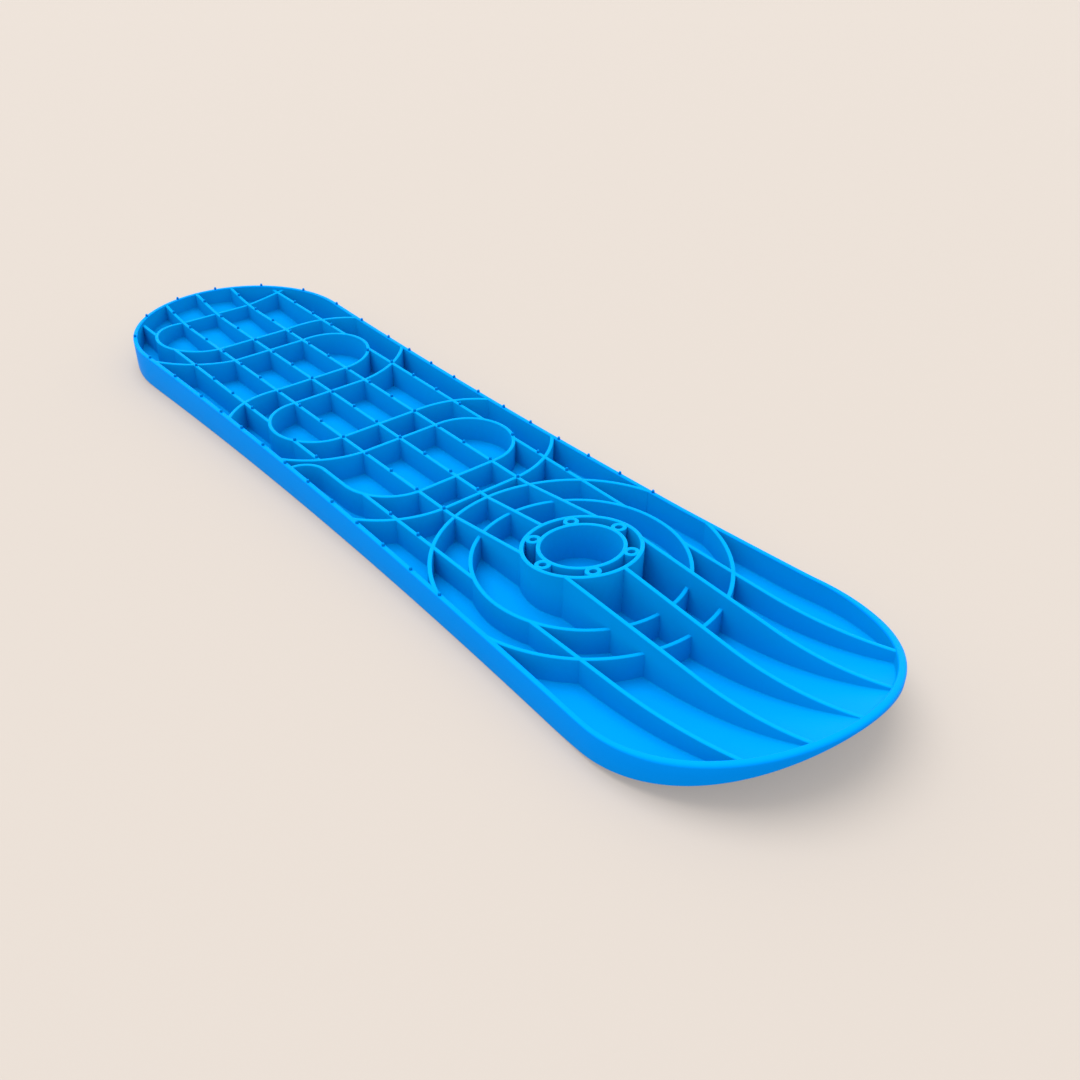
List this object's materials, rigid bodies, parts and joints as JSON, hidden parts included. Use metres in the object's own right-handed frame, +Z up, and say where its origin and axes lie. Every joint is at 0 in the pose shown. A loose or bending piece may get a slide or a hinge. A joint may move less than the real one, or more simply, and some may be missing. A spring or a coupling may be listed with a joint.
{
  "type": "snowskate deck",
  "caption": "Bindingless snow deck: shallow ribbed tray with upturned nose, kicked tail, winding stiffening ribs, grip studs and a round screw hub.",
  "frame": {"origin": "under the hub's axis, on the ground plane that the flat middle of the sole rests on", "axes": "+X along the deck to the upturned nose, +Y across to the left-hand rail as seen looking at the nose from the tail, +Z up"},
  "size_m": [0.8371, 0.224, 0.0491],
  "materials": {
    "sole_plastic": "satin moulded",
    "rim_plastic": "satin moulded",
    "rib_plastic": "satin moulded",
    "hub_plastic": "satin moulded",
    "stud_plastic": "satin moulded"
  },
  "bodies": {
    "root": {"sole": "sole_plastic", "left_rail": "rim_plastic", "right_rail": "rim_plastic", "tail_rim": "rim_plastic", "nose_rim": "rim_plastic", "left_rib_tail": "rib_plastic", "left_rib_middle": "rib_plastic", "left_rib_hub": "rib_plastic", "left_rib_nose": "rib_plastic", "inner_left_rib_tail": "rib_plastic", "inner_left_rib_nose": "rib_plastic", "centre_rib_tail": "rib_plastic", "centre_rib_nose": "rib_plastic", "inner_right_rib_tail": "rib_plastic", "inner_right_rib_nose": "rib_plastic", "right_rib_tail": "rib_plastic", "right_rib_middle": "rib_plastic", "right_rib_short": "rib_plastic", "right_rib_hub": "rib_plastic", "right_rib_nose": "rib_plastic", "winding_rib_1": "rib_plastic", "winding_rib_2": "rib_plastic", "winding_rib_3": "rib_plastic", "winding_rib_4": "rib_plastic", "arched_rib": "rib_plastic", "inner_ring_tail_half": "rib_plastic", "inner_ring_nose_half": "rib_plastic", "outer_ring_tail_arc": "rib_plastic", "outer_ring_nose_arc": "rib_plastic", "hub_outer_wall": "hub_plastic", "hub_inner_wall": "hub_plastic", "screw_bosses": "hub_plastic", "left_rail_studs": "stud_plastic", "right_rail_studs": "stud_plastic", "tail_rim_studs": "stud_plastic", "left_rib_studs": "stud_plastic", "inner_left_rib_studs": "stud_plastic", "centre_rib_studs": "stud_plastic", "inner_right_rib_studs": "stud_plastic", "right_rib_studs": "stud_plastic"}
  },
  "joints": []
}
